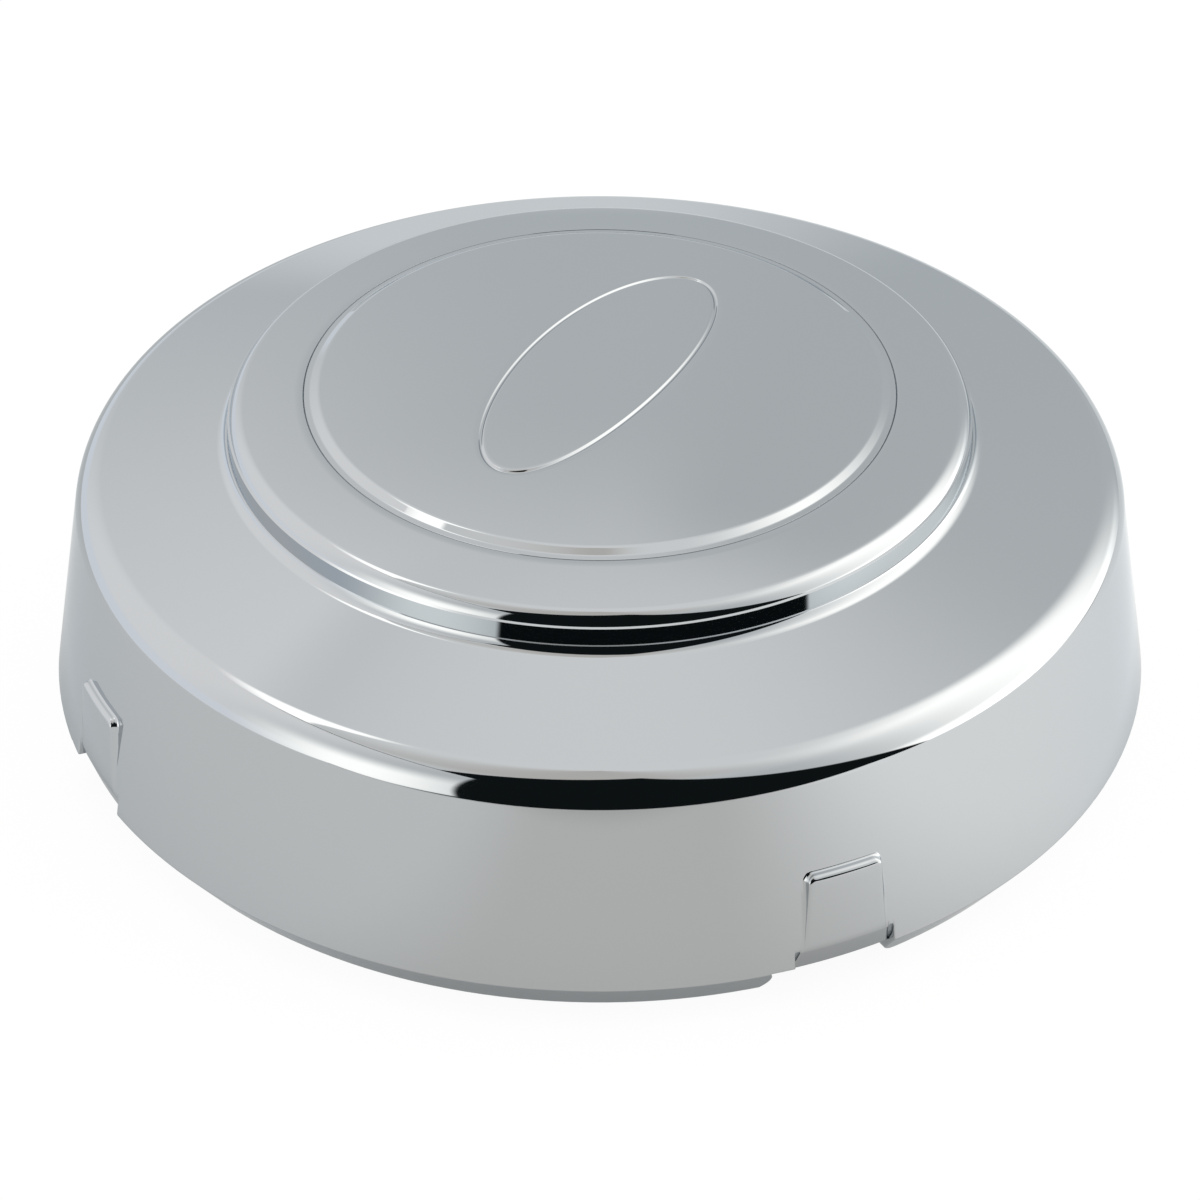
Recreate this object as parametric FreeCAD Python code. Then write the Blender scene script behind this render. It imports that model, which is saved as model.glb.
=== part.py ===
import FreeCAD, Part
import math
import os

# Wheel centre cap: one hollow moulding of even wall, open underneath, with four snap tabs in its skirt.
# Millimetres, +Z up. The origin is on the axis, in the plane of the rim that the cap stands on.

# Overall form
WALL = 2.5               # even wall of the moulding
WIDEST_DIA = 195.0       # at the edge between skirt and lead-in lip
LIP_HEIGHT = 7.0         # rim to the widest edge
LIP_INSET = 5.5          # the lip leans in by this much from the widest edge to the rim
SKIRT_DRAFT = 8.0        # degrees, the skirt narrows upwards
SHOULDER_HEIGHT = 45.9   # where skirt and outer band would meet without the rounding
SHOULDER_RADIUS = 7.0
BAND_SLOPE = 17.0        # degrees, outer band between shoulder and riser

# Raised crown
RISER_FOOT_DIA = 131.5   # where riser and outer band would meet without the rounding
RISER_HEIGHT = 6.3       # from the band to the ring, without the roundings
RISER_DRAFT = 17.0       # degrees from upright
RISER_TOP_RADIUS = 3.6
RISER_FOOT_RADIUS = 2.5
CROWN_RADIUS = 280.0     # spherical crown of the top
DISC_RISE = 0.4          # the middle disc stands this much above the ring around it
CREASE_DIA = 103.4       # sharp line around the disc
DISC_EDGE_SLOPE = 30.0   # degrees, from the crease up to the disc
DISC_EDGE_RADIUS = 2.0

# Plain oval line in the disc
OVAL_LENGTH = 68.8
OVAL_WIDTH = 26.4
OVAL_TURN = 60.4         # degrees from +X
OVAL_LINE_WIDTH = 1.2
OVAL_LINE_DEPTH = 0.2

# Snap tabs
TAB_COUNT = 4
TAB_FIRST_ANGLE = 25.15  # degrees from +X
BOSS_TOP_HEIGHT = 25.1   # the catch ledge, above the rim
BOSS_TOP_WIDTH = 13.7
BOSS_FOOT_WIDTH = 15.9
BOSS_PROUD = 1.5         # ledge width, the boss fades into the skirt at its foot
BOSS_CORNER_RADIUS = 1.2
SLOT_SPACING = 17.7      # between the middles of the two slots beside a tab
SLOT_WIDTH = 1.3
SLOT_RISE = 3.2          # slot top above the widest edge
TOE_INSET = 2.2          # the tab's foot leans in by this much from the widest edge
TOE_DROP = 1.1           # and ends this far below it
TOE_FLARE = 1.0          # the tab widens by this much on each side, from the slots' top to its foot
LIP_RELIEF = 4.2         # the lip stops this far short of the slot on the clockwise side
LIP_END_RADIUS = 3.2     # rounded lip end on the other side

OVERLAP = 1.0            # how far tools and roots run past the faces that they meet


class Line:
    """Straight stretch of the section: a point and a direction, with the solid on its right hand."""

    def __init__(self, point, angle):
        self.point = point
        self.angle = angle
        self.along = FreeCAD.Vector(math.cos(math.radians(angle)), 0, math.sin(math.radians(angle)))

    def sunk(self, depth):
        inward = FreeCAD.Vector(self.along.z, 0, -self.along.x)
        return Line(self.point + inward * depth, self.angle)

    def foot(self, point):
        return self.point + self.along * (point - self.point).dot(self.along)

    def edge(self, start, end):
        return Part.LineSegment(start, end).toShape()


class Dome:
    """Spherical stretch of the section, centred on the axis."""

    def __init__(self, top, radius):
        self.centre = FreeCAD.Vector(0, 0, top - radius)
        self.radius = radius

    def sunk(self, depth):
        return Dome(self.centre.z + self.radius - depth, self.radius - depth)

    def foot(self, point):
        return self.centre + (point - self.centre).normalize() * self.radius

    def height(self, r):
        return self.centre.z + math.sqrt(self.radius ** 2 - r ** 2)

    def edge(self, start, end):
        middle = self.foot((start + end) * 0.5)
        return Part.Arc(start, middle, end).toShape()


def meet(a, b):
    """Point where two stretches cross, on the outward and upper side."""
    if isinstance(a, Dome):
        along_b = (a.centre - b.point).dot(b.along)
        nearest = b.point + b.along * along_b
        half_chord = math.sqrt(a.radius ** 2 - (nearest - a.centre).Length ** 2)
        ends = [nearest + b.along * half_chord, nearest - b.along * half_chord]
        return max(ends, key=lambda end: end.z)
    if isinstance(b, Dome):
        return meet(b, a)
    cross = a.along.x * b.along.z - a.along.z * b.along.x
    gap = b.point - a.point
    return a.point + a.along * ((gap.x * b.along.z - gap.z * b.along.x) / cross)


def section(stretches, radii, first, last):
    """Edges along the stretches, first to last, rounded where they meet. A negative radius is hollow."""
    edges = []
    start = first
    for here, following, radius in zip(stretches, stretches[1:], radii):
        if radius == 0:
            corner = meet(here, following)
            edges.append(here.edge(start, corner))
            start = corner
            continue
        centre = meet(here.sunk(radius), following.sunk(radius))
        leave = here.foot(centre)
        join = following.foot(centre)
        bulge = (leave + join) * 0.5 - centre
        middle = centre + bulge.normalize() * abs(radius)
        edges.append(here.edge(start, leave))
        edges.append(Part.Arc(leave, middle, join).toShape())
        start = join
    edges.append(stretches[-1].edge(start, last))
    return edges


def turned(edges, first, last):
    """Solid of revolution under a section that runs from the axis out to the rim plane."""
    below = FreeCAD.Vector(0, 0, last.z)
    closing = [Part.LineSegment(last, below).toShape(), Part.LineSegment(below, first).toShape()]
    face = Part.Face(Part.Wire(edges + closing))
    return face.revolve(FreeCAD.Vector(0, 0, 0), FreeCAD.Vector(0, 0, 1), 360)


def point(r, z):
    return FreeCAD.Vector(r, 0, z)


WIDEST_R = WIDEST_DIA / 2
RIM_R = WIDEST_R - LIP_INSET
SLOT_TOP = LIP_HEIGHT + SLOT_RISE
SLOT_NEAR = (SLOT_SPACING - SLOT_WIDTH) / 2
SLOT_FAR = (SLOT_SPACING + SLOT_WIDTH) / 2
SLOT_ROUND = 0.42 * SLOT_WIDTH
TOE_HEIGHT = LIP_HEIGHT - TOE_DROP
TOE_HALF = SLOT_NEAR + TOE_FLARE
LIP_LEAN = math.degrees(math.atan2(LIP_INSET, LIP_HEIGHT))
SHOULDER_R = WIDEST_R - (SHOULDER_HEIGHT - LIP_HEIGHT) * math.tan(math.radians(SKIRT_DRAFT))
RISER_FOOT_R = RISER_FOOT_DIA / 2
RISER_TOP_R = RISER_FOOT_R - RISER_HEIGHT * math.tan(math.radians(RISER_DRAFT))
RISER_FOOT_Z = SHOULDER_HEIGHT + (SHOULDER_R - RISER_FOOT_R) * math.tan(math.radians(BAND_SLOPE))
RING_TOP = RISER_FOOT_Z + RISER_HEIGHT + CROWN_RADIUS - math.sqrt(CROWN_RADIUS ** 2 - RISER_TOP_R ** 2)
HEIGHT = RING_TOP + DISC_RISE

disc = Dome(HEIGHT, CROWN_RADIUS)
ring = Dome(RING_TOP, CROWN_RADIUS)
disc_edge = Line(point(CREASE_DIA / 2, ring.height(CREASE_DIA / 2)), -DISC_EDGE_SLOPE)
riser = Line(point(RISER_FOOT_R, RISER_FOOT_Z), -90 + RISER_DRAFT)
band = Line(point(SHOULDER_R, SHOULDER_HEIGHT), -BAND_SLOPE)
skirt = Line(point(WIDEST_R, LIP_HEIGHT), -90 + SKIRT_DRAFT)
lip = Line(point(WIDEST_R, LIP_HEIGHT), -90 - LIP_LEAN)


def skirt_radius(z):
    return WIDEST_R - (z - LIP_HEIGHT) * math.tan(math.radians(SKIRT_DRAFT))


def outer_body():
    """Everything inside the outer skin."""
    stretches = [disc, disc_edge, ring, riser, band, skirt, lip]
    radii = [DISC_EDGE_RADIUS, 0, RISER_TOP_RADIUS, -RISER_FOOT_RADIUS, SHOULDER_RADIUS, 0]
    top = point(0, HEIGHT)
    rim = point(RIM_R, 0)
    return turned(section(stretches, radii, top, rim), top, rim)


def hollow():
    """The space under the even wall, which follows the main forms of the skin with plain corners."""
    stretches = [stretch.sunk(WALL) for stretch in (ring, riser, band, skirt, lip)]
    top = point(0, RING_TOP - WALL)
    mouth = meet(stretches[-1], Line(point(0, -OVERLAP), 0))
    return turned(section(stretches, [0, 0, 0, 0], top, mouth), top, mouth)


def oval_line():
    """Shallow groove along an oval, even in depth below the crown."""
    def oval(margin):
        curve = Part.Ellipse(FreeCAD.Vector(0, 0, 0), OVAL_LENGTH / 2 + margin, OVAL_WIDTH / 2 + margin)
        return Part.Face(Part.Wire(curve.toShape())).extrude(FreeCAD.Vector(0, 0, HEIGHT))

    band_of_line = oval(OVAL_LINE_WIDTH / 2).cut(oval(-OVAL_LINE_WIDTH / 2))
    band_of_line.rotate(FreeCAD.Vector(0, 0, 0), FreeCAD.Vector(0, 0, 1), OVAL_TURN)
    bed = disc.sunk(OVAL_LINE_DEPTH)
    return band_of_line.cut(Part.makeSphere(bed.radius, bed.centre))


def outline(*corners):
    """Closed outline across the skirt wall, from corners of (across, height, rounding)."""
    places = [FreeCAD.Vector(0, y, z) for y, z, _ in corners]
    edges = []
    ends = []
    for index, (_, _, radius) in enumerate(corners):
        corner = places[index]
        back = (places[index - 1] - corner).normalize()
        ahead = (places[(index + 1) % len(places)] - corner).normalize()
        half_angle = back.getAngle(ahead) / 2
        leave = corner + back * (radius / math.tan(half_angle))
        join = corner + ahead * (radius / math.tan(half_angle))
        ends.append((leave, join))
        if radius:
            centre = corner + (back + ahead).normalize() * (radius / math.sin(half_angle))
            middle = centre + (corner - centre).normalize() * radius
            edges.append(Part.Arc(leave, middle, join).toShape())
    for (_, start), (end, _) in zip(ends, ends[1:] + ends[:1]):
        if start.distanceToPoint(end) > 1e-6:
            edges.append(Part.LineSegment(start, end).toShape())
    return Part.Face(Part.Wire(Part.sortEdges(edges)[0]))


def radial_prism(*corners):
    """Prism through the skirt wall on the +X side, from the corners of its outline."""
    inner = RIM_R - 4 * WALL
    face = outline(*corners)
    face.translate(FreeCAD.Vector(inner, 0, 0))
    return face.extrude(FreeCAD.Vector(WIDEST_R + BOSS_PROUD + OVERLAP - inner, 0, 0))


def ring_of(*edges):
    return Part.Face(Part.Wire(edges)).revolve(FreeCAD.Vector(0, 0, 0), FreeCAD.Vector(0, 0, 1), 360)


def path(*points):
    return [Part.LineSegment(a, b).toShape() for a, b in zip(points, points[1:])]


def boss():
    """Catch on the tab: a flat ledge on top, its face running out into the skirt at the slots' top."""
    root = point(skirt_radius(BOSS_TOP_HEIGHT) - OVERLAP, BOSS_TOP_HEIGHT)
    ledge = root + point(OVERLAP + BOSS_PROUD, 0)
    foot = point(skirt_radius(SLOT_TOP), SLOT_TOP)
    wedge = ring_of(*path(root, ledge, foot, foot - point(OVERLAP, 0), root))
    half_top = BOSS_TOP_WIDTH / 2
    half_foot = BOSS_FOOT_WIDTH / 2
    return wedge.common(radial_prism(
        (-half_foot, SLOT_TOP, 0), (half_foot, SLOT_TOP, 0),
        (half_top, BOSS_TOP_HEIGHT, BOSS_CORNER_RADIUS), (-half_top, BOSS_TOP_HEIGHT, BOSS_CORNER_RADIUS)))


def tab_cut():
    """Opening under a tab: the lip is left out there, and a slot frees the tab on each side."""
    relief = SLOT_FAR + LIP_RELIEF
    flare = SLOT_FAR + LIP_END_RADIUS
    return radial_prism(
        (-relief, -OVERLAP, 0), (-relief, LIP_HEIGHT, 0), (-SLOT_FAR, LIP_HEIGHT, 0),
        (-SLOT_FAR, SLOT_TOP, SLOT_ROUND), (-SLOT_NEAR, SLOT_TOP, SLOT_ROUND), (-TOE_HALF, TOE_HEIGHT, 0),
        (TOE_HALF, TOE_HEIGHT, 0), (SLOT_NEAR, SLOT_TOP, SLOT_ROUND), (SLOT_FAR, SLOT_TOP, SLOT_ROUND),
        (SLOT_FAR, 0, LIP_END_RADIUS), (flare, 0, 0), (flare, -OVERLAP, 0))


def toe_cut():
    """Takes the tab's foot back below the slots' top, as a lead-in."""
    top = point(skirt_radius(SLOT_TOP), SLOT_TOP)
    foot = point(WIDEST_R - TOE_INSET, TOE_HEIGHT)
    lower = foot + (foot - top).normalize() * OVERLAP
    beyond = WIDEST_R + OVERLAP
    taken = path(top, lower, point(beyond, lower.z), point(beyond, SLOT_TOP), top)
    half = (TOE_HALF + SLOT_FAR) / 2
    return ring_of(*taken).common(radial_prism(
        (-half, 0, 0), (half, 0, 0), (half, SLOT_TOP, 0), (-half, SLOT_TOP, 0)))


def center_cap():
    body = outer_body().cut(hollow()).cut(oval_line())
    for index in range(TAB_COUNT):
        angle = TAB_FIRST_ANGLE + index * 360 / TAB_COUNT
        tools = [boss(), toe_cut(), tab_cut()]
        for tool in tools:
            tool.rotate(FreeCAD.Vector(0, 0, 0), FreeCAD.Vector(0, 0, 1), angle)
        body = body.fuse(tools[0]).cut(tools[1]).cut(tools[2])
    return body.removeSplitter()


cap = center_cap()
os.makedirs("parts", exist_ok=True)
cap.exportStep("parts/center_cap.step")
box = cap.optimalBoundingBox(False)
print("center_cap: %d solid, valid %s, %.1f cm3, box %.2f x %.2f x %.2f mm, base z %.3f" % (
    len(cap.Solids), cap.isValid(), cap.Volume / 1000, box.XLength, box.YLength, box.ZLength, box.ZMin))
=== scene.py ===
import math

import bpy
import numpy as np
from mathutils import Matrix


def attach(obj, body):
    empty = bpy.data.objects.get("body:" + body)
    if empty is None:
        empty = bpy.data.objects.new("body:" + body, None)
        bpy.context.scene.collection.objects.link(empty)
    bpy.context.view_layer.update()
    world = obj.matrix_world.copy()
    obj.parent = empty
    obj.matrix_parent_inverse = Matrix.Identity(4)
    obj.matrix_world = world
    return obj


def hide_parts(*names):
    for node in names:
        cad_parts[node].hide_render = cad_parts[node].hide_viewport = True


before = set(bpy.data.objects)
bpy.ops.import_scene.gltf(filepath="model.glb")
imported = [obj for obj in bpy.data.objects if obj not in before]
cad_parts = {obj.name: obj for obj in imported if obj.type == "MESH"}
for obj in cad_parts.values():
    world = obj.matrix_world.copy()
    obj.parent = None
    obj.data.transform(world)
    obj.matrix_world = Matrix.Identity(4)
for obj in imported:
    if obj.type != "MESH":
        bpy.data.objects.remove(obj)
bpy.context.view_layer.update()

# Chrome-plated wheel center cap. Sizes are millimetres and degrees, and meshes are made in metres.
MM = 0.001

# Turned section of the cap, from the axis outwards and down. A tilt is how far the skin turns from facing up.
CROWN_RADIUS = 280.0
DISC_TOP = 68.0
RING_TOP = 67.6
DISC_GRID_R = 47.5
CREASE_R = 51.7
ROLL_OFF_RADIUS = 8.0
ROLL_OFF_WIDTH = 1.8
DISC_EDGE_TILT = 30.0
DISC_EDGE_RADIUS = 2.0
DISC_FOOT_RADIUS = 1.0
STRIP_TILT = 11.0
STRIP_WIDTH = 1.0
CREASE_DEPTH = 0.28
CREASE_TILTS = (66.0, -66.0)
RISER_FOOT_R = 66.1
RISER_TILT = 77.7
FACE_TILT = 85.5
RISER_TOP_RADIUS = 2.96
RISER_FOOT_RADIUS = 2.13
EASE_TILTS = (40.0, 70.0)
EASE_TOP_RADIUS = 3.75
EASE_FOOT_RADIUS = 2.67
LEDGE_TILT = 25.0
LEDGE_TOP = 0.36
LEDGE_FOOT = 0.14
BAND_TILT = 17.0
SHOULDER_Z = 45.9
SHOULDER_RADIUS = 7.0
SKIRT_TILT = 82.0
WIDEST_R = 97.5
WIDEST_Z = 7.0
WIDEST_EDGE_RADIUS = 0.4
LIP_INSET = 5.5
LIP_TILT = 90 + math.degrees(math.atan2(LIP_INSET, WIDEST_Z))
RIM_EDGE_RADIUS = 0.3
WALL = 2.5
CORNER_GAP = 0.012       # a sharp corner is drawn as a strip this wide

# Snap tabs. Widths are measured from a tab's middle along the widest edge.
TAB_COUNT = 4
TAB_ANGLE = 25.15
PANEL_HALF = 16.0        # the fine grid around a tab reaches this far to each side
PANEL_TOP = 27.0
BOSS_TOP = 24.9
BOSS_HALF_TOP = 6.85
BOSS_HALF_FOOT = 7.75
BOSS_PROUD = 1.5
BOSS_CORNER = 1.2
BOSS_EDGE = 0.35         # rounding along the sides
BOSS_SIDE_DRAFT = 0.5
LEDGE_EDGE = 1.0         # rounding along the front of the catch ledge
LEDGE_ROOT = 0.35        # hollow where the ledge leaves the skirt
EDGE_SHARE = 0.67        # a rounding takes at most this share of the boss height
SLOT_MID = 8.85
SLOT_HALF = 0.5
SLOT_TOP = 10.2
CUT_EDGE = 0.3
TOE_INSET = 2.2
TOE_FOOT = 5.4
TOE_FLARE = 1.0
TOE_BEND = 0.12
LIP_LEFT_END = 13.7
LIP_LEFT_BULGE = 0.95
LIP_END_RADIUS = 4.6

# Oval line in the disc
OVAL_HALF_LENGTH = 34.4
OVAL_HALF_WIDTH = 13.15
OVAL_TURN = 60.4
OVAL_LINE_HALF = 0.52
OVAL_LINE_DEPTH = 0.36

# Camera
CAMERA_ELEVATION = 36.0
CAMERA_DISTANCE = 1000.5
CAMERA_AIM_Z = 16.8
CAMERA_LENS = 167.1
CAMERA_SENSOR = 36.0

# Chrome
CHROME_COLOUR = "#c2c5c7"
CHROME_GLANCING_TINT = "#e9edf0"
CHROME_ROUGHNESS = 0.03

# Studio. The paper carries painted light, which the chrome mirrors at the left, in front and at the right.
BACK_WALL = "#dcdfe1"
FLOOR_PAPER = "#979593"
PAINTED_LIGHT_LEFT = "#c6c8c9"
PAINTED_LIGHT_FRONT = "#b5b5b4"
PAINTED_LIGHT_RIGHT = "#eff0f0"
FLOOR_WHITE = 0.94       # the paper as the camera sees it, with a little left for the shadow
FLOOR_SHADOW = 0.08
FLOOR_FRONT = 205.0
FLOOR_SIDE = 215.0
FLOOR_BACK = 600.0


def linear(hex_colour):
    """sRGB hex to linear red, green, blue and alpha."""
    parts = [int(hex_colour[i:i + 2], 16) / 255 for i in (1, 3, 5)]
    return [c / 12.92 if c <= 0.04045 else ((c + 0.055) / 1.055) ** 2.4 for c in parts] + [1.0]


def add_node(tree, kind, inputs=(), **settings):
    """Adds a node. Each input is (socket, value or source socket). Settings are the node's properties."""
    node = tree.nodes.new(kind)
    for name, value in settings.items():
        setattr(node, name, value)
    for socket, value in inputs:
        if isinstance(value, bpy.types.NodeSocket):
            tree.links.new(value, node.inputs[socket])
        else:
            node.inputs[socket].default_value = value
    return node


# Section of the cap. Each sample is (radius, height, tilt).

def facing(tilt):
    """Direction that the skin faces."""
    return np.array([math.sin(math.radians(tilt)), math.cos(math.radians(tilt))])


def along(tilt):
    """Direction outwards and down the section on a stretch that faces tilt."""
    return np.array([math.cos(math.radians(tilt)), -math.sin(math.radians(tilt))])


def straight(start, end, tilt, count):
    """Samples along a straight stretch."""
    return [(*(start + (end - start) * t), tilt) for t in np.linspace(0, 1, count)]


def bend(centre, radius, tilts, count, hollow=False):
    """Samples along a rounding from one tilt to another."""
    side = -1 if hollow else 1
    return [(*(centre + facing(t) * radius * side), t) for t in np.linspace(*tilts, count)]


def crown(top, radius, r_from, r_to, count):
    """Samples along a domed stretch between two radii."""
    middle = np.array([0, top - radius])
    tilts = [math.degrees(math.asin(r / radius)) for r in np.linspace(r_from, r_to, count)]
    return [(*(middle + facing(t) * radius), t) for t in tilts]


def corner_centre(corner, tilt_a, tilt_b, radius):
    """Centre of the rounding where two stretches meet, outside the solid for a negative radius."""
    a, b = facing(tilt_a), facing(tilt_b)
    return corner - radius * (a + b) / (1 + a @ b)


def crown_corner(top, sphere, place, tilt, radius):
    """Centre of the rounding between a crown and a straight stretch, and the crown's tilt there."""
    middle = np.array([0, top - sphere])
    reach = ((place - middle) @ facing(tilt) - radius) / (sphere - radius)
    crown_tilt = tilt - math.degrees(math.acos(reach))
    return middle + facing(crown_tilt) * (sphere - radius), crown_tilt


def meet(a, tilt_a, b, tilt_b):
    """Where two straight stretches cross."""
    steps = np.linalg.solve(np.column_stack([along(tilt_a), -along(tilt_b)]), b - a)
    return a + along(tilt_a) * steps[0]


def skirt_r(z):
    """Radius of the skirt at a height."""
    return WIDEST_R - (z - WIDEST_Z) / math.tan(math.radians(SKIRT_TILT))


SHOULDER = np.array([skirt_r(SHOULDER_Z), SHOULDER_Z])
BAND_RISE = (SHOULDER[0] - RISER_FOOT_R) * math.tan(math.radians(BAND_TILT))
RISER_FOOT = np.array([RISER_FOOT_R, SHOULDER_Z + BAND_RISE])


def disc_edge_section():
    """Disc edge, crease, and the ring rolling off into the crease."""
    ring_r = CREASE_R + ROLL_OFF_WIDTH
    r, z, ring_tilt = crown(RING_TOP, CROWN_RADIUS, ring_r, ring_r, 1)[0]
    roll_centre = np.array([r, z]) - facing(ring_tilt) * ROLL_OFF_RADIUS
    near_wall, far_wall = (along(tilt) * CREASE_DEPTH / math.sin(math.radians(abs(tilt)))
                           for tilt in CREASE_TILTS)
    roll_r = CREASE_R + near_wall[0] + far_wall[0]
    roll_tilt = math.degrees(math.asin((roll_r - roll_centre[0]) / ROLL_OFF_RADIUS))
    roll_start = roll_centre + facing(roll_tilt) * ROLL_OFF_RADIUS
    crease = roll_start - near_wall - far_wall
    strip = crease - along(STRIP_TILT) * STRIP_WIDTH
    centre, edge_tilt = crown_corner(DISC_TOP, CROWN_RADIUS, strip, DISC_EDGE_TILT, DISC_EDGE_RADIUS)
    foot_centre = corner_centre(strip, DISC_EDGE_TILT, STRIP_TILT, -DISC_FOOT_RADIUS)
    edge_start = centre + facing(edge_tilt) * DISC_EDGE_RADIUS
    slope_start = centre + facing(DISC_EDGE_TILT) * DISC_EDGE_RADIUS
    slope_end = foot_centre - facing(DISC_EDGE_TILT) * DISC_FOOT_RADIUS
    strip_start = foot_centre - facing(STRIP_TILT) * DISC_FOOT_RADIUS
    skin = crown(DISC_TOP, CROWN_RADIUS, DISC_GRID_R, edge_start[0], 3)
    skin += bend(centre, DISC_EDGE_RADIUS, (edge_tilt, DISC_EDGE_TILT), 6)[1:]
    skin += straight(slope_start, slope_end, DISC_EDGE_TILT, 3)[1:]
    skin += bend(foot_centre, DISC_FOOT_RADIUS, (DISC_EDGE_TILT, STRIP_TILT), 5, hollow=True)[1:]
    skin += straight(strip_start, crease - along(STRIP_TILT) * CORNER_GAP, STRIP_TILT, 2)[1:]
    for start, end, tilt in ((crease, crease + near_wall, CREASE_TILTS[0]),
                             (crease + near_wall, roll_start, CREASE_TILTS[1])):
        skin += straight(start + along(tilt) * CORNER_GAP, end - along(tilt) * CORNER_GAP, tilt, 2)
    skin += bend(roll_centre, ROLL_OFF_RADIUS, (roll_tilt + 0.1, ring_tilt), 7)
    return skin


def riser_section():
    """Ring, riser with a fine ledge above and below its face, and the hollow at its foot."""
    foot_centre = corner_centre(RISER_FOOT, RISER_TILT, BAND_TILT, -RISER_FOOT_RADIUS)
    wall_foot = foot_centre - facing(RISER_TILT) * RISER_FOOT_RADIUS
    face_foot = wall_foot - along(LEDGE_TILT) * LEDGE_FOOT
    top_line = face_foot - along(LEDGE_TILT) * LEDGE_TOP
    top_centre, top_tilt = crown_corner(RING_TOP, CROWN_RADIUS, top_line, RISER_TILT, RISER_TOP_RADIUS)
    wall_top = top_centre + facing(RISER_TILT) * RISER_TOP_RADIUS
    face_top = wall_top + along(LEDGE_TILT) * LEDGE_TOP
    middle = (face_top + face_foot) / 2
    half_face = along(FACE_TILT) * math.dist(face_top, face_foot) / 2
    ring_end = top_centre + facing(top_tilt) * RISER_TOP_RADIUS
    ease, ease_end = EASE_TILTS
    top_ease = top_centre + facing(ease) * (RISER_TOP_RADIUS - EASE_TOP_RADIUS)
    foot_ease = foot_centre - facing(ease) * (RISER_FOOT_RADIUS - EASE_FOOT_RADIUS)
    ledge_start = top_ease + facing(ease_end) * EASE_TOP_RADIUS
    ledge_end = foot_ease - facing(ease_end) * EASE_FOOT_RADIUS
    skin = crown(RING_TOP, CROWN_RADIUS, CREASE_R + ROLL_OFF_WIDTH, ring_end[0], 5)[1:]
    skin += bend(top_centre, RISER_TOP_RADIUS, (top_tilt, ease), 7)[1:]
    skin += bend(top_ease, EASE_TOP_RADIUS, (ease, ease_end), 7)[1:]
    for start, end, count in ((ledge_start, middle - half_face, 2),
                              (middle - half_face, middle + half_face, 4),
                              (middle + half_face, ledge_end, 2)):
        run = end - start
        tilt = math.degrees(math.atan2(-run[1], run[0]))
        skin += straight(start + along(tilt) * CORNER_GAP, end - along(tilt) * CORNER_GAP, tilt, count)
    skin += bend(foot_ease, EASE_FOOT_RADIUS, (ease_end, ease), 6, hollow=True)
    skin += bend(foot_centre, RISER_FOOT_RADIUS, (ease, BAND_TILT), 6, hollow=True)[1:]
    return skin


def band_section():
    """Outer band, shoulder and upper skirt, down to the top of the tab panels."""
    foot_centre = corner_centre(RISER_FOOT, RISER_TILT, BAND_TILT, -RISER_FOOT_RADIUS)
    centre = corner_centre(SHOULDER, BAND_TILT, SKIRT_TILT, SHOULDER_RADIUS)
    band_start = foot_centre - facing(BAND_TILT) * RISER_FOOT_RADIUS
    band_end = centre + facing(BAND_TILT) * SHOULDER_RADIUS
    skirt_start = centre + facing(SKIRT_TILT) * SHOULDER_RADIUS
    panel_top = np.array([skirt_r(PANEL_TOP), PANEL_TOP])
    skin = straight(band_start, band_end, BAND_TILT, 7)[1:]
    skin += bend(centre, SHOULDER_RADIUS, (BAND_TILT, SKIRT_TILT), 14)[1:]
    skin += straight(skirt_start, panel_top, SKIRT_TILT, 4)[1:-1]
    return skin


def skirt_section():
    """Skirt, widest edge, lip and rim edge below the top of the tab panels, from the rim upwards."""
    centre = corner_centre(np.array([WIDEST_R, WIDEST_Z]), SKIRT_TILT, LIP_TILT, WIDEST_EDGE_RADIUS)
    rim_centre = corner_centre(np.array([WIDEST_R - LIP_INSET, 0.0]), LIP_TILT, 180, RIM_EDGE_RADIUS)
    skin = [(skirt_r(PANEL_TOP), PANEL_TOP, SKIRT_TILT)]
    skin += bend(centre, WIDEST_EDGE_RADIUS, (SKIRT_TILT, LIP_TILT), 9)
    skin += bend(rim_centre, RIM_EDGE_RADIUS, (LIP_TILT, 178), 7)
    return np.array(skin[::-1])


def inner_r(z):
    """Inside of the wall at a height: the sunk skirt, or the sunk lip below it."""
    sunk_skirt = skirt_r(z) - WALL / math.sin(math.radians(SKIRT_TILT))
    lean = LIP_INSET / WIDEST_Z
    sunk_lip = WIDEST_R - LIP_INSET + z * lean - WALL * math.sqrt(1 + lean ** 2)
    return np.minimum(sunk_skirt, sunk_lip)


def inner_section():
    """Inside of the wall from the top of the tab panels to the axis, with plain corners."""
    start = np.array([float(inner_r(PANEL_TOP)), PANEL_TOP])
    corner = meet(start, SKIRT_TILT, SHOULDER - facing(BAND_TILT) * WALL, BAND_TILT)
    foot = meet(corner, BAND_TILT, RISER_FOOT - facing(RISER_TILT) * WALL, RISER_TILT)
    head, _ = crown_corner(RING_TOP - WALL, CROWN_RADIUS - WALL, foot, RISER_TILT, 0)
    skin = []
    for low, high, tilt, count in ((start, corner, SKIRT_TILT, 4), (corner, foot, BAND_TILT, 5),
                                   (foot, head, RISER_TILT, 3)):
        skin += straight(low - along(tilt) * CORNER_GAP, high + along(tilt) * CORNER_GAP, tilt, count)
    skin += crown(RING_TOP - WALL, CROWN_RADIUS - WALL, head[0] - CORNER_GAP, 0, 9)
    return [(r, z, tilt + 180) for r, z, tilt in skin]


# Grid of a quarter of the cap, with one tab in its middle

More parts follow.
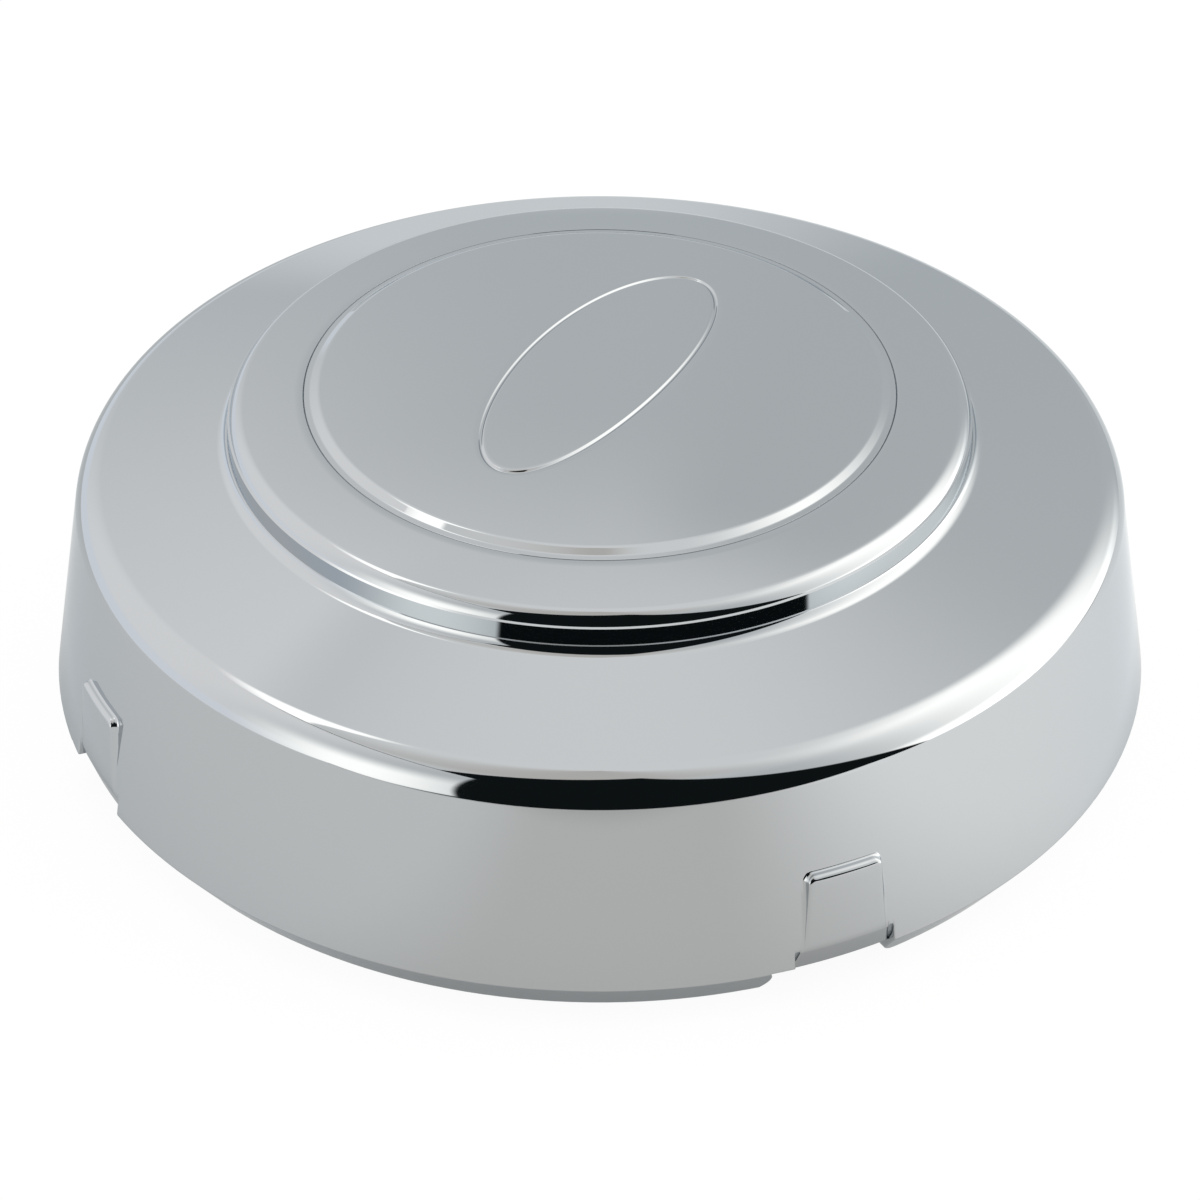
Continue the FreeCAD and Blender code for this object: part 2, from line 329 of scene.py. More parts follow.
SLOT_NEAR = SLOT_MID - SLOT_HALF
SLOT_FAR = SLOT_MID + SLOT_HALF
EDGE_STEPS = (0.03, 0.1, CUT_EDGE)
BOSS_SIDE_LAST = 0.7     # last column that follows a boss side
BOSS_SIDE_STEPS = (-BOSS_EDGE, -0.18, -0.06, 0.0, 0.25, BOSS_SIDE_DRAFT, BOSS_SIDE_LAST)
BOSS_TOP_STEPS = (0.7, 0.5, LEDGE_ROOT, 0.25, 0.12, 0.04, 0.005)
BOSS_TOP_STEPS += (-0.005, -0.03, -0.1, -0.22, -0.4, -0.65, -LEDGE_EDGE)
FOOT_CLOSING = 0.78      # the side columns close up by this share towards the boss foot
ROW_SQUEEZE = 0.3        # the ledge rows close up to this share beside the boss
FACE_COLUMNS = [1.4, 2.8, 4.1, 5.1, 5.65, 6.05]
SLOT_SHARES = (-1, -0.77, -0.46, 0, 0.46, 0.77, 1)
RIGHT_COLUMNS = [10.4, 11.6, 13.0, 14.5]
LEFT_COLUMNS = [10.8, 12.4, LIP_LEFT_END]
LEFT_LAST_COLUMN = 14.9
PLAIN_COLUMNS = 20
ROW_ABOVE_BOSS = 26.3
BOSS_ROWS = (22.4, 20.0, 17.5, 15.0, 12.8, 11.4)
SLOT_ROWS = (8.9, 8.2, 7.6, 7.25, 7.17, 7.1, 7.03)
LIP_ROWS = (6.94, 6.87, 6.4, 5.4, 4.4, 3.4, 2.6, 1.9, 1.3, 0.8, 0.48)


def quarter_columns():
    """Places across a quarter, along the widest edge from the tab's middle."""
    side = [BOSS_HALF_TOP + step for step in BOSS_SIDE_STEPS]
    slot = [SLOT_NEAR - step for step in EDGE_STEPS[::-1]]
    slot += [SLOT_MID + SLOT_HALF * share for share in SLOT_SHARES]
    slot += [SLOT_FAR + step for step in EDGE_STEPS]
    right = FACE_COLUMNS + side + slot + RIGHT_COLUMNS
    left = FACE_COLUMNS + side + slot + LEFT_COLUMNS
    left += [LIP_LEFT_END + step for step in EDGE_STEPS] + [LEFT_LAST_COLUMN]
    end = WIDEST_R * math.pi / TAB_COUNT
    plain = list(np.linspace(PANEL_HALF, end, PLAIN_COLUMNS))
    return np.array([-s for s in (left + plain)[::-1]] + [0.0] + right + plain)


def boss_half(z):
    """Half the boss width at a height."""
    share = np.clip((BOSS_TOP - z) / (BOSS_TOP - SLOT_TOP), 0, 1)
    return BOSS_HALF_TOP + (BOSS_HALF_FOOT - BOSS_HALF_TOP) * share


def boss_inset(s, z):
    """How far a place lies inside the boss outline, and how much its nearest side is the ledge."""
    across = np.abs(s) - (boss_half(z) - BOSS_CORNER)
    up = z - (BOSS_TOP - BOSS_CORNER)
    outside = np.hypot(np.maximum(across, 0), np.maximum(up, 0))
    outside += np.minimum(np.maximum(across, up), 0)
    ledge = np.clip(0.5 + (up - across) / (2 * BOSS_CORNER), 0, 1)
    return BOSS_CORNER - outside, ledge


def boss_lift(s, z):
    """How far the boss stands out of the skirt."""
    inset, ledge = boss_inset(s, z)
    proud = BOSS_PROUD * np.clip((z - SLOT_TOP) / (BOSS_TOP - SLOT_TOP), 0, 1)
    edge = BOSS_EDGE + (LEDGE_EDGE - BOSS_EDGE) * ledge
    edge = np.maximum(np.minimum(edge, proud * EDGE_SHARE), 1e-6)
    side = np.clip(1 + inset / BOSS_SIDE_DRAFT, 0, 1)
    root = 1 - np.sqrt(1 - np.clip(1 + inset / LEDGE_ROOT, 0, 1) ** 2)
    wall = (proud - edge) * (side + (root - side) * ledge)
    short = np.clip(edge - inset, 0, edge)
    rounded = np.where(inset > 0, np.sqrt(edge ** 2 - short ** 2), 0)
    return wall + rounded


def cut_distance(s, z):
    """Distance from the slots and the gap in the lip."""
    foot = np.where(np.abs(s) < SLOT_MID, TOE_FOOT, WIDEST_Z)
    beside = np.maximum(np.maximum(-LIP_LEFT_END - s, s - SLOT_FAR), 0)
    gap = np.hypot(beside, np.maximum(z - foot, 0))
    off_mid = np.abs(np.abs(s) - SLOT_MID)
    spring = SLOT_TOP - SLOT_HALF
    slot = np.where(z > spring, np.hypot(off_mid, z - spring) - SLOT_HALF, off_mid - SLOT_HALF)
    return np.minimum(gap, np.maximum(slot, 0))


def panel_rows(s):
    """Heights of the grid rows for each column, and the rows where the slots and the gap start."""
    over = np.maximum(np.abs(s) - (BOSS_HALF_TOP - BOSS_CORNER), 0)
    off_mid = np.minimum(np.abs(np.abs(s) - SLOT_MID), SLOT_HALF)
    slot_top = SLOT_TOP - SLOT_HALF + np.sqrt(SLOT_HALF ** 2 - off_mid ** 2)
    rows = [np.full_like(s, z) for z in (PANEL_TOP, ROW_ABOVE_BOSS)]
    for step in BOSS_TOP_STEPS:
        least = ROW_SQUEEZE * (step + LEDGE_EDGE + 0.05)
        rise = np.sqrt(np.maximum((BOSS_CORNER + step) ** 2 - over ** 2, least ** 2))
        rows.append(BOSS_TOP - BOSS_CORNER + rise)
    rows += [np.full_like(s, z) for z in BOSS_ROWS]
    rows += [slot_top + step for step in EDGE_STEPS[::-1]]
    slot_row = len(rows)
    rows.append(slot_top)
    rows += [np.full_like(s, z) for z in SLOT_ROWS]
    gap_row = len(rows)
    rows.append(np.full_like(s, WIDEST_Z))
    stretch = np.where(np.abs(s) < SLOT_MID, (slot_top - TOE_FOOT) / (slot_top - WIDEST_Z), 1)
    for row in range(slot_row + 1, gap_row + 1):
        rows[row] = slot_top - (slot_top - rows[row]) * stretch
    rows += [np.full_like(s, z) for z in LIP_ROWS]
    rim = skirt_section()
    rows += [np.full_like(s, z) for z in rim[5::-1, 1]]
    return np.array(rows), slot_row, gap_row


def panel_places(s, z):
    """Grid places moved to follow the boss sides and the rounded lip end."""
    share = np.clip((BOSS_TOP - z) / (BOSS_TOP - SLOT_TOP), 0, 1)
    beside = np.abs(s) - BOSS_HALF_TOP
    on_face = np.abs(s) * boss_half(z) / BOSS_HALF_TOP
    on_side = boss_half(z) + beside * (1 - FOOT_CLOSING * share)
    moved = np.where(beside < BOSS_SIDE_LAST + 0.01, on_side, np.abs(s))
    moved = np.where(beside < -BOSS_EDGE - 1e-6, on_face, moved)
    toe = np.clip((SLOT_TOP - z) / (SLOT_TOP - TOE_FOOT), 0, 1) * TOE_FLARE / SLOT_NEAR
    s = np.sign(s) * moved * np.where(np.abs(s) < SLOT_MID, 1 + toe, 1)
    high = np.clip(z / WIDEST_Z, 0, 1)
    near_end = np.clip((PANEL_HALF + s) / (PANEL_HALF - LIP_LEFT_END), 0, 1)
    bulge = LIP_LEFT_BULGE * 4 * high * (1 - high) * near_end
    s = s + np.where(s <= -LIP_LEFT_END + 1e-6, bulge, 0)
    low = np.clip(LIP_END_RADIUS - z, 0, LIP_END_RADIUS)
    flare = LIP_END_RADIUS - np.sqrt(LIP_END_RADIUS ** 2 - low ** 2)
    room = np.clip((PANEL_HALF - s) / (PANEL_HALF - SLOT_FAR), 0, 1)
    return s + np.where(s >= SLOT_FAR - 1e-6, flare * room, 0)


def quarter_mesh():
    """Skin, inside and cut walls of a quarter, with the lean and rise of the skin where it is turned."""
    s = quarter_columns()
    columns = len(s)
    upper = np.array(disc_edge_section() + riser_section() + band_section())
    inner = np.array(inner_section())
    z, slot_row, gap_row = panel_rows(s)
    across = panel_places(np.broadcast_to(s, z.shape), z)
    rim_r, rim_z, rim_tilt = skirt_section().T
    cut = cut_distance(np.broadcast_to(s, z.shape), z)
    edge = np.clip(CUT_EDGE - cut, 0, CUT_EDGE)
    fall = SLOT_TOP - z
    toe_lean = (skirt_r(TOE_FOOT) - WIDEST_R + TOE_INSET) / (SLOT_TOP - TOE_FOOT)
    toe = toe_lean * (np.hypot(fall, TOE_BEND) + fall) / 2
    on_tab = (np.abs(s) < SLOT_MID) & (z > TOE_FOOT - 0.01) & (z < SLOT_TOP + 1.2)
    r = np.where(on_tab, skirt_r(z), np.interp(z, rim_z, rim_r)) + boss_lift(across, z)
    r -= CUT_EDGE - np.sqrt(CUT_EDGE ** 2 - edge ** 2)
    r -= np.where(on_tab, toe, 0)
    inset, _ = boss_inset(across, z)
    plain = (inset < -BOSS_SIDE_DRAFT - 0.1) & (cut > CUT_EDGE - 0.01) & ~on_tab
    tilt = np.radians(np.interp(z, rim_z, rim_tilt))

    def turned(section):
        count = len(section)
        grid = [np.repeat(section[:, i:i + 1], columns, axis=1) for i in range(2)]
        lean = np.radians(np.repeat(section[:, 2:3], columns, axis=1))
        return np.broadcast_to(s, (count, columns)), grid[0], grid[1], np.sin(lean), np.cos(lean)

    outside = (across, r, z, np.where(plain, np.sin(tilt), 0), np.where(plain, np.cos(tilt), 0))
    inside = (across, inner_r(z), z, np.zeros_like(z), np.zeros_like(z))
    parts = [turned(upper), outside, inside, turned(inner)]
    columns_of = [np.concatenate([part[i] for part in parts]).ravel() for i in range(5)]
    place, radius, height, lean, rise = columns_of
    angle = place / WIDEST_R
    points = np.column_stack([radius * np.cos(angle), radius * np.sin(angle), height]) * MM

    first_out = len(upper)
    rows = len(z)
    first_in = first_out + rows
    first_inner = first_in + rows
    between = (s[1:] + s[:-1]) / 2
    in_slot = np.abs(np.abs(between) - SLOT_MID) < SLOT_HALF
    in_gap = (between > -LIP_LEFT_END) & (between < SLOT_FAR)
    level = np.arange(rows - 1)[:, None]
    open_cell = (in_slot & (level >= slot_row) & (level < gap_row)) | (in_gap & (level >= gap_row))

    def at(row, column):
        return row * columns + column

    faces = []

    def strip(row_a, row_b, kept=None):
        for j in range(columns - 1):
            if kept is None or kept[j]:
                faces.append((at(row_a, j), at(row_b, j), at(row_b, j + 1), at(row_a, j + 1)))

    for row in range(first_out):
        strip(row, row + 1)
    for row in range(rows - 1):
        strip(first_out + row, first_out + row + 1, ~open_cell[row])
        strip(first_in + row + 1, first_in + row, ~open_cell[row])
    strip(first_out + rows - 1, first_in + rows - 1, ~in_gap)
    strip(first_in, first_inner)
    for row in range(first_inner, first_inner + len(inner) - 1):
        strip(row, row + 1)
    for row in range(rows - 1):
        out_a, out_b = first_out + row, first_out + row + 1
        in_a, in_b = first_in + row, first_in + row + 1
        for j in range(1, columns - 1):
            wall = (at(out_a, j), at(in_a, j), at(in_b, j), at(out_b, j))
            if open_cell[row, j - 1] and not open_cell[row, j]:
                faces.append(wall)
            if open_cell[row, j] and not open_cell[row, j - 1]:
                faces.append(wall[::-1])
        if row > 0:
            for j in range(columns - 1):
                if open_cell[row, j] and not open_cell[row - 1, j]:
                    faces.append((at(out_a, j), at(in_a, j), at(in_a, j + 1), at(out_a, j + 1)))
    return skin_mesh("quarter", points, faces, lean, rise)


def skin_mesh(name, points, faces, lean, rise):
    """Mesh of the used points, with the turned skin's lean and rise kept on them."""
    used = np.unique(np.array([i for face in faces for i in face]))
    renumber = np.full(len(points), -1)
    renumber[used] = np.arange(len(used))
    mesh = bpy.data.meshes.new(name)
    kept = [[int(renumber[i]) for i in face] for face in faces]
    mesh.from_pydata(points[used].tolist(), [], kept)
    for label, values in (("lean", lean), ("rise", rise)):
        layer = mesh.attributes.new(label, "FLOAT", "POINT")
        layer.data.foreach_set("value", np.ascontiguousarray(values[used], dtype=np.float32))
    return mesh


def disc_mesh():
    """Crowned disc with the oval line pressed into it, on the same grid columns as the quarters."""
    columns = quarter_columns()[:-1] / WIDEST_R
    turn = 2 * math.pi / TAB_COUNT
    angle = np.concatenate([columns + math.radians(TAB_ANGLE) + turn * k for k in range(TAB_COUNT)])
    lean_angle = angle - math.radians(OVAL_TURN)
    a, b = OVAL_HALF_LENGTH, OVAL_HALF_WIDTH
    oval = np.array([a * np.cos(lean_angle), b * np.sin(lean_angle)])
    normal = np.array([np.cos(lean_angle) / a, np.sin(lean_angle) / b])
    normal /= np.linalg.norm(normal, axis=0)
    circle = DISC_GRID_R * np.array([np.cos(lean_angle), np.sin(lean_angle)])
    half = OVAL_LINE_HALF
    rings = [((oval - normal * half) * t, 0) for t in (0, 0.25, 0.5, 0.75, 0.92, 0.98)]
    for offset in (-1, -0.85, -0.6, -0.3, 0, 0.3, 0.6, 0.85, 1):
        depth = OVAL_LINE_DEPTH * math.cos(offset * math.pi / 2) ** 2
        rings.append((oval + normal * half * offset, depth))
    outer = oval + normal * half
    rings += [(outer + (circle - outer) * t, 0) for t in (0.04, 0.15, 0.35, 0.6, 0.8, 1)]
    turned = math.radians(OVAL_TURN)
    points, lean, rise = [], [], []
    for (x, y), depth in rings:
        r = np.hypot(x, y)
        z = DISC_TOP - CROWN_RADIUS + np.sqrt(CROWN_RADIUS ** 2 - r ** 2)
        spot = np.column_stack([x * math.cos(turned) - y * math.sin(turned),
                                x * math.sin(turned) + y * math.cos(turned), z - depth])
        points.append(spot * MM)
        tilt = np.arcsin(r / CROWN_RADIUS)
        lean.append(np.where(depth > 0, 0, np.sin(tilt)))
        rise.append(np.where(depth > 0, 0, np.cos(tilt)))
    count = len(angle)
    faces = []
    for ring in range(len(rings) - 1):
        for j in range(count):
            k = (j + 1) % count
            near, far = ring * count, (ring + 1) * count
            faces.append((near + j, far + j, far + k, near + k))
    return skin_mesh("disc", np.concatenate(points), faces, np.concatenate(lean), np.concatenate(rise))


def quarter_turns_tree():
    """Repeats a quarter around the axis, adds the disc and welds the seams."""
    tree = bpy.data.node_groups.new("Quarter turns", "GeometryNodeTree")
    for name, kind in (("Quarter", "NodeSocketGeometry"), ("Disc", "NodeSocketObject"),
                       ("Turns", "NodeSocketInt"), ("First turn", "NodeSocketFloat"),
                       ("Weld", "NodeSocketFloat"), ("Finish", "NodeSocketMaterial")):
        tree.interface.new_socket(name, in_out="INPUT", socket_type=kind)
    tree.interface.new_socket("Cap", in_out="OUTPUT", socket_type="NodeSocketGeometry")
    source = tree.nodes.new("NodeGroupInput").outputs
    points = add_node(tree, "GeometryNodePoints", [("Count", source["Turns"])])
    index = add_node(tree, "GeometryNodeInputIndex")
    step = add_node(tree, "ShaderNodeMath", [(0, 2 * math.pi), (1, source["Turns"])], operation="DIVIDE")
    angle = add_node(tree, "ShaderNodeMath",
                     [(0, index.outputs[0]), (1, step.outputs[0]), (2, source["First turn"])],
                     operation="MULTIPLY_ADD")
    spin = add_node(tree, "ShaderNodeCombineXYZ", [("Z", angle.outputs[0])])
    placed = add_node(tree, "GeometryNodeInstanceOnPoints",
                      [("Points", points.outputs[0]), ("Instance", source["Quarter"]),
                       ("Rotation", spin.outputs[0])])
    real = add_node(tree, "GeometryNodeRealizeInstances", [("Geometry", placed.outputs[0])])
    disc = add_node(tree, "GeometryNodeObjectInfo", [("Object", source["Disc"])])
    joined = add_node(tree, "GeometryNodeJoinGeometry", [("Geometry", real.outputs[0])])
    tree.links.new(disc.outputs["Geometry"], joined.inputs["Geometry"])
    welded = add_node(tree, "GeometryNodeMergeByDistance",
                      [("Geometry", joined.outputs[0]), ("Distance", source["Weld"])])
    smooth = add_node(tree, "GeometryNodeSetShadeSmooth", [("Geometry", welded.outputs[0])])
    dressed = add_node(tree, "GeometryNodeSetMaterial",
                       [("Geometry", smooth.outputs[0]), ("Material", source["Finish"])])
    add_node(tree, "NodeGroupOutput", [("Cap", dressed.outputs[0])])
    return tree


def set_input(modifier, name, value):
    """Sets a named input of a Geometry Nodes modifier."""
    for item in modifier.node_group.interface.items_tree:
        if item.in_out == "INPUT" and item.name == name:
            modifier[item.identifier] = value


def chrome_cap(finish):
    """The whole moulding as one welded mesh."""
    scene = bpy.context.scene.collection
    disc = bpy.data.objects.new("disc", disc_mesh())
    quarter = bpy.data.objects.new("quarter", quarter_mesh())
    for piece in (disc, quarter):
        scene.objects.link(piece)
    turns = quarter.modifiers.new("Quarter turns", "NODES")
    turns.node_group = quarter_turns_tree()
    for name, value in (("Disc", disc), ("Turns", TAB_COUNT), ("First turn", math.radians(TAB_ANGLE)),
                        ("Weld", 0.002 * MM), ("Finish", finish)):
        set_input(turns, name, value)
    bpy.context.view_layer.update()
    evaluated = quarter.evaluated_get(bpy.context.evaluated_depsgraph_get())
    mesh = bpy.data.meshes.new_from_object(evaluated)
    quarter.modifiers.remove(turns)
    for piece in (disc, quarter):
        bpy.data.objects.remove(piece)
    keep_turned_normals(mesh)
    cap = bpy.data.objects.new("chrome_cap", mesh)
    scene.objects.link(cap)
    return cap


def keep_turned_normals(mesh):
    """Gives the turned skin its true normals, so that long and short faces mirror alike."""
    count = len(mesh.vertices)
    place = np.empty(count * 3, np.float32)
    lean = np.empty(count, np.float32)
    rise = np.empty(count, np.float32)
    mesh.vertices.foreach_get("co", place)
    mesh.attributes["lean"].data.foreach_get("value", lean)
    mesh.attributes["rise"].data.foreach_get("value", rise)
    x, y, _ = place.reshape(-1, 3).T
    angle = np.arctan2(y, x)
    normals = np.column_stack([lean * np.cos(angle), lean * np.sin(angle), rise])
    mesh.normals_split_custom_set_from_vertices(normals.tolist())
    for label in ("lean", "rise"):
        mesh.attributes.remove(mesh.attributes[label])


def chrome_plating():
    """Bright decorative chrome on moulded ABS: a mirror, slightly grey, with hardly any blur."""
    material = bpy.data.materials.new("chrome plating on moulded ABS")
    material.use_nodes = True
    tree = material.node_tree
    shader = tree.nodes["Principled BSDF"]
    shader.inputs["Base Color"].default_value = linear(CHROME_COLOUR)
    shader.inputs["Metallic"].default_value = 1.0
    shader.inputs["Roughness"].default_value = CHROME_ROUGHNESS
    shader.inputs["Specular Tint"].default_value = linear(CHROME_GLANCING_TINT)
    return material


def studio_world():
    """White for the camera. The chrome mirrors soft boxes, pale screens and the dark room.

    Azimuth is 0 towards the camera and grows to the right, and elevation is above the level.
    """
    world = bpy.data.worlds.new("studio")
    bpy.context.scene.world = world
    world.use_nodes = True
    tree = world.node_tree
    tree.nodes.clear()
    way = add_node(tree, "ShaderNodeTexCoord").outputs["Generated"]
    parts = add_node(tree, "ShaderNodeSeparateXYZ", [(0, way)]).outputs
    front = add_node(tree, "ShaderNodeMath", [(0, parts["Y"]), (1, -1.0)], operation="MULTIPLY").outputs[0]
    radians = add_node(tree, "ShaderNodeMath", [(0, parts["X"]), (1, front)], operation="ARCTAN2").outputs[0]
    azimuth = add_node(tree, "ShaderNodeMath", [(0, radians)], operation="DEGREES").outputs[0]
    height = add_node(tree, "ShaderNodeMath", [(0, parts["Z"])], operation="ARCSINE").outputs[0]
    elevation = add_node(tree, "ShaderNodeMath", [(0, height)], operation="DEGREES").outputs[0]

    def edge(value, start, full):
        """Soft edge from nothing at start to all at full."""
        return add_node(tree, "ShaderNodeMapRange",
                        [("Value", value), ("From Min", start), ("From Max", full)],
                        interpolation_type="SMOOTHSTEP").outputs[0]

    def window(edges):
        """Where all the edges hold."""
        share = edges[0]
        for other in edges[1:]:
            share = add_node(tree, "ShaderNodeMath", [(0, share), (1, other)],
                             operation="MULTIPLY").outputs[0]
        return share

    def paint(under, colour, level, edges):
        """Lays a lit or dark surface over what is under it."""
        shade = [c * level for c in linear(colour)[:3]] + [1.0]
        mixed = add_node(tree, "ShaderNodeMix", [("Factor", window(edges))], data_type="RGBA")
        tree.links.new(under, mixed.inputs[6])
        mixed.inputs[7].default_value = shade
        return mixed.outputs[2]

    def sloping(facing_azimuth, top):
        """Below a straight edge that is highest at an azimuth."""
        lean, turn = math.radians(top), math.radians(facing_azimuth)
        across = (math.sin(turn) * math.sin(lean), -math.cos(turn) * math.sin(lean), -math.cos(lean))
        return add_node(tree, "ShaderNodeVectorMath", [(0, way), (1, across)],
                        operation="DOT_PRODUCT").outputs["Value"]

    # Slanting edges in the studio
    slant = add_node(tree, "ShaderNodeMath", [(0, azimuth), (1, 1.46), (2, elevation)],
                     operation="MULTIPLY_ADD").outputs[0]
    left_rail = sloping(-83, 56.6)
    dark_top = sloping(20, 65.6)
    lean = add_node(tree, "ShaderNodeMath", [(0, azimuth), (1, 0.417), (2, elevation)],
                    operation="MULTIPLY_ADD").outputs[0]
    seen = add_node(tree, "ShaderNodeRGB")
    seen.outputs[0].default_value = linear(BACK_WALL)
    seen = seen.outputs[0]
    # Pale ceiling, slightly darker on the camera's side
    seen = paint(seen, "#ffffff", 1.02, [edge(elevation, 38, 74)])
    seen = paint(seen, "#ebe7e2", 0.86, [edge(elevation, 46, 62), edge(azimuth, -130, -10),
                                         edge(azimuth, 70, 5)])
    # White low behind the cap, on both sides of straight back
    seen = paint(seen, "#ffffff", 1.0, [edge(azimuth, 145, 170), edge(elevation, 8, 1)])
    seen = paint(seen, "#ffffff", 1.0, [edge(azimuth, -145, -170), edge(elevation, 8, 1)])
    # Screen on the left, cooler along its foot, with a bright strip at its top
    seen = paint(seen, "#fefdfd", 1.1, [edge(azimuth, -180, -130), edge(azimuth, -20, -100),
                                        edge(elevation, 60, 52)])
    seen = paint(seen, "#f6f9ff", 1.12, [edge(azimuth, -178, -150), edge(azimuth, -50, -75),
                                         edge(elevation, 7, 1)])
    seen = paint(seen, "#fffdfa", 1.9, [edge(azimuth, -140, -130), edge(lean, 19.5, 17.5),
                                        edge(elevation, 72, 66), edge(elevation, 50, 57),
                                        edge(left_rail, 0.0, -0.006)])
    # Soft box at the front left
    seen = paint(seen, "#fffefa", 1.8, [edge(azimuth, -80, -52), edge(azimuth, -8, -48),
                                        edge(elevation, 38, 12), edge(elevation, -45, -5)])
    # Soft box on the right, brighter along its foot
    seen = paint(seen, "#fffdf9", 1.85, [edge(azimuth, 36, 100), edge(azimuth, 146, 112),
                                         edge(elevation, 76, 50)])
    seen = paint(seen, "#fffdf9", 2.3, [edge(azimuth, 36, 90), edge(azimuth, 146, 112),
                                        edge(elevation, 6, -4)])
    # Greyer wall at the back right
    seen = paint(seen, "#d8dbdd", 1.0, [edge(azimuth, 142, 162), edge(azimuth, 180, 168),
                                        edge(elevation, 60, 48)])
    # Dark seam along the top of the left screen
    seen = paint(seen, "#12161a", 1.0, [edge(azimuth, -112, -96), edge(azimuth, -20, -30),
                                        edge(left_rail, -0.007, -0.003), edge(left_rail, 0.007, 0.003)])
    # Dim ground beyond the paper
    seen = paint(seen, "#565c60", 1.0, [edge(azimuth, 95, 125), edge(elevation, -13, -16)])
    seen = paint(seen, "#565c60", 1.0, [edge(azimuth, -70, -55), edge(azimuth, -20, -28),
                                        edge(elevation, -13, -16)])
    # Dark room behind the camera, with a wedge of it above the left screen
    seen = paint(seen, "#0d1112", 1.8, [edge(azimuth, -60, -50), edge(slant, 87, 83.5),
                                        edge(left_rail, 0.0, -0.006), edge(dark_top, -0.012, 0.012)])
    seen = paint(seen, "#0d1112", 1.8, [edge(azimuth, -29.5, -27.5), edge(slant, 87, 83.5),
                                        edge(dark_top, -0.012, 0.012)])
    room = add_node(tree, "ShaderNodeBackground", [("Color", seen), ("Strength", 1.0)])
    white = add_node(tree, "ShaderNodeBackground", [("Color", (1, 1, 1, 1)), ("Strength", 1.0)])
    ray = add_node(tree, "ShaderNodeLightPath").outputs
    shown = add_node(tree, "ShaderNodeMixShader",
                     [(0, ray["Is Camera Ray"]), (1, room.outputs[0]), (2, white.outputs[0])])
    add_node(tree, "ShaderNodeOutputWorld", [("Surface", shown.outputs[0])])


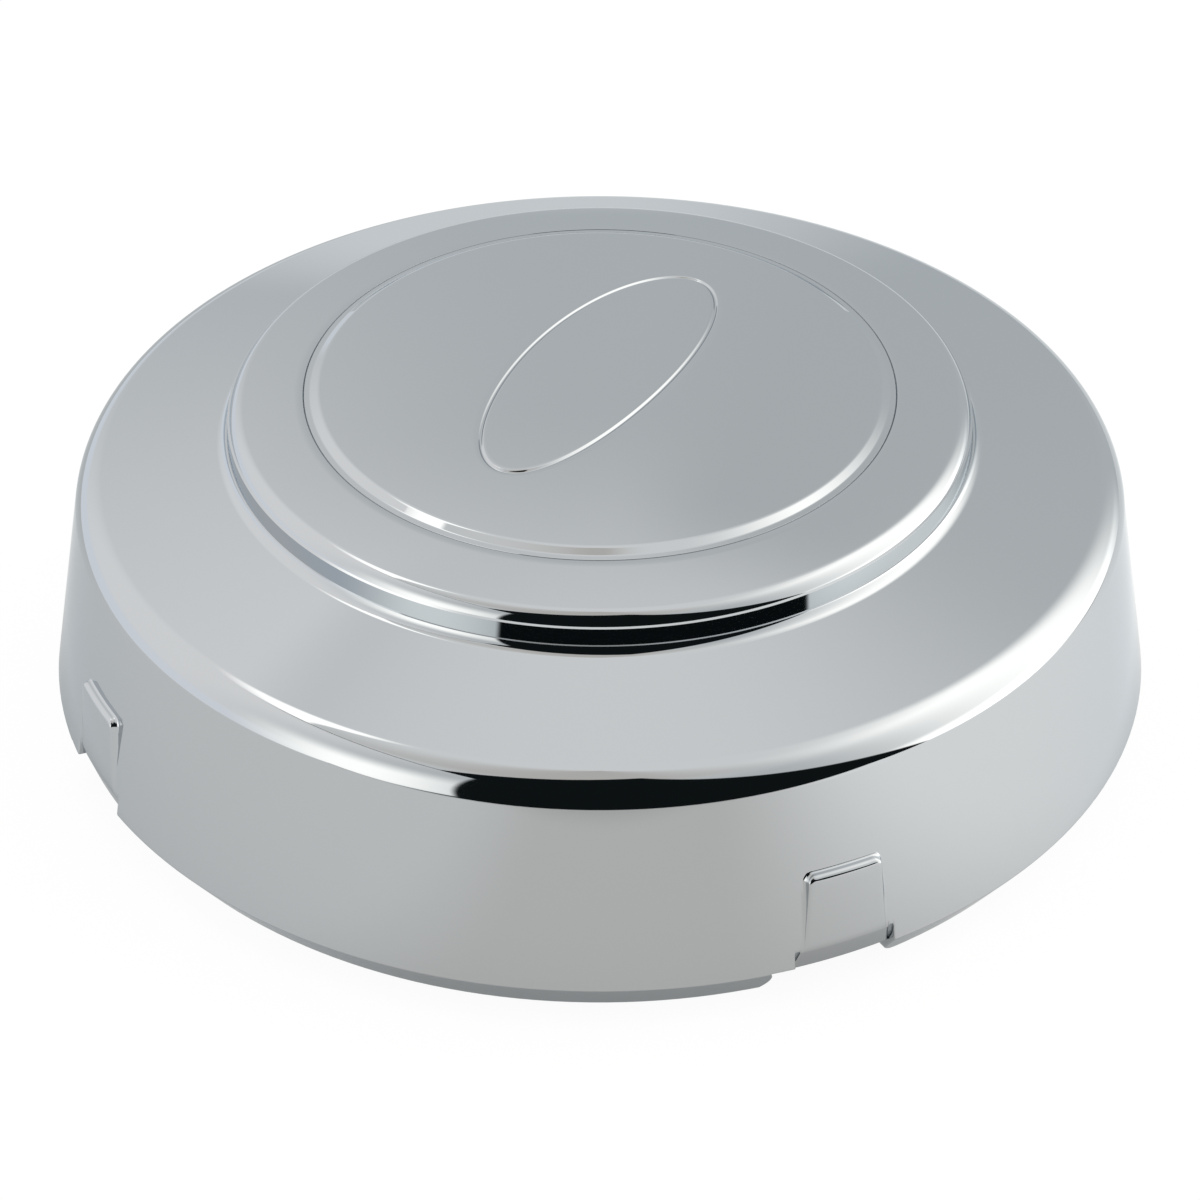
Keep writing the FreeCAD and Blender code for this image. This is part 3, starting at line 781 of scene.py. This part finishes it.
def floor_sheet():
    """White sheet that the cap stands on. It ends in front, where the chrome mirrors the dark room."""
    mesh = bpy.data.meshes.new("floor_sheet")
    side, front, back = FLOOR_SIDE * MM, -FLOOR_FRONT * MM, FLOOR_BACK * MM
    corners = [(-side, front, 0), (side, front, 0), (side, back, 0), (-side, back, 0)]
    mesh.from_pydata(corners, [], [(0, 1, 2, 3)])
    sheet = bpy.data.objects.new("floor_sheet", mesh)
    bpy.context.scene.collection.objects.link(sheet)
    material = bpy.data.materials.new("white paper sheet")
    material.use_nodes = True
    tree = material.node_tree
    tree.nodes.clear()
    place = add_node(tree, "ShaderNodeTexCoord").outputs["Object"]
    parts = add_node(tree, "ShaderNodeSeparateXYZ", [(0, place)]).outputs

    def ramp(value, start, full, low, high):
        """Soft change from low at start to high at full."""
        return add_node(tree, "ShaderNodeMapRange",
                        [("Value", value), ("From Min", start * MM), ("From Max", full * MM), ("To Min", low),
                         ("To Max", high)], interpolation_type="SMOOTHSTEP").outputs[0]

    # Painted light on the paper, brighter towards the right, that only the chrome sees
    cool = add_node(tree, "ShaderNodeMix", [("Factor", ramp(parts["X"], -75, -25, 0, 1))], data_type="RGBA")
    cool.inputs[6].default_value = linear(PAINTED_LIGHT_LEFT)
    cool.inputs[7].default_value = linear(PAINTED_LIGHT_FRONT)
    rightward = add_node(tree, "ShaderNodeMath", [(0, parts["Y"]), (1, 0.35), (2, parts["X"])],
                         operation="MULTIPLY_ADD").outputs[0]
    light = add_node(tree, "ShaderNodeMix", [("Factor", ramp(rightward, -13, 97, 0, 1))], data_type="RGBA")
    tree.links.new(cool.outputs[2], light.inputs[6])
    light.inputs[7].default_value = linear(PAINTED_LIGHT_RIGHT)
    # The painted light dims at the front edge and behind the cap, and a painted shadow darkens it close to
    # the rim
    away = add_node(tree, "ShaderNodeVectorMath", [(0, place)], operation="LENGTH").outputs["Value"]
    fade = add_node(tree, "ShaderNodeMath",
                    [(0, ramp(parts["Y"], -FLOOR_FRONT, -FLOOR_FRONT + 22, 0.55, 1)),
                     (1, ramp(parts["Y"], 140, -10, 0.8, 1))], operation="MULTIPLY")
    fade = add_node(tree, "ShaderNodeMath",
                    [(0, fade.outputs[0]), (1, ramp(away, 97, 108, 0.7, 1))], operation="MULTIPLY")
    lit = add_node(tree, "ShaderNodeEmission", [("Color", light.outputs[2]), ("Strength", fade.outputs[0])])
    dull = add_node(tree, "ShaderNodeBsdfDiffuse", [("Color", linear(FLOOR_PAPER))])
    paper = add_node(tree, "ShaderNodeAddShader", [(0, lit.outputs[0]), (1, dull.outputs[0])])
    # White for the camera, with the cap's faint shadow
    glow = add_node(tree, "ShaderNodeEmission", [("Color", (*[FLOOR_WHITE] * 3, 1)), ("Strength", 1.0)])
    shade = add_node(tree, "ShaderNodeBsdfDiffuse", [("Color", (*[FLOOR_SHADOW] * 3, 1))])
    white = add_node(tree, "ShaderNodeAddShader", [(0, glow.outputs[0]), (1, shade.outputs[0])])
    ray = add_node(tree, "ShaderNodeLightPath").outputs
    shown = add_node(tree, "ShaderNodeMixShader",
                     [(0, ray["Is Camera Ray"]), (1, paper.outputs[0]), (2, white.outputs[0])])
    add_node(tree, "ShaderNodeOutputMaterial", [("Surface", shown.outputs[0])])
    mesh.materials.append(material)


def camera():
    """Long lens at the photograph's viewing angle."""
    lens = bpy.data.cameras.new("camera")
    lens.lens = CAMERA_LENS
    lens.sensor_width = CAMERA_SENSOR
    lens.clip_end = 20
    eye = bpy.data.objects.new("camera", lens)
    bpy.context.scene.collection.objects.link(eye)
    lift = math.radians(CAMERA_ELEVATION)
    eye.location = (0, -CAMERA_DISTANCE * math.cos(lift) * MM,
                    (CAMERA_AIM_Z + CAMERA_DISTANCE * math.sin(lift)) * MM)
    eye.rotation_euler = (math.pi / 2 - lift, 0, 0)
    bpy.context.scene.camera = eye


bpy.context.scene.view_settings.view_transform = "Standard"
studio_world()
floor_sheet()
camera()
cap = chrome_cap(chrome_plating())
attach(cap, "root")
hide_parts("center_cap")
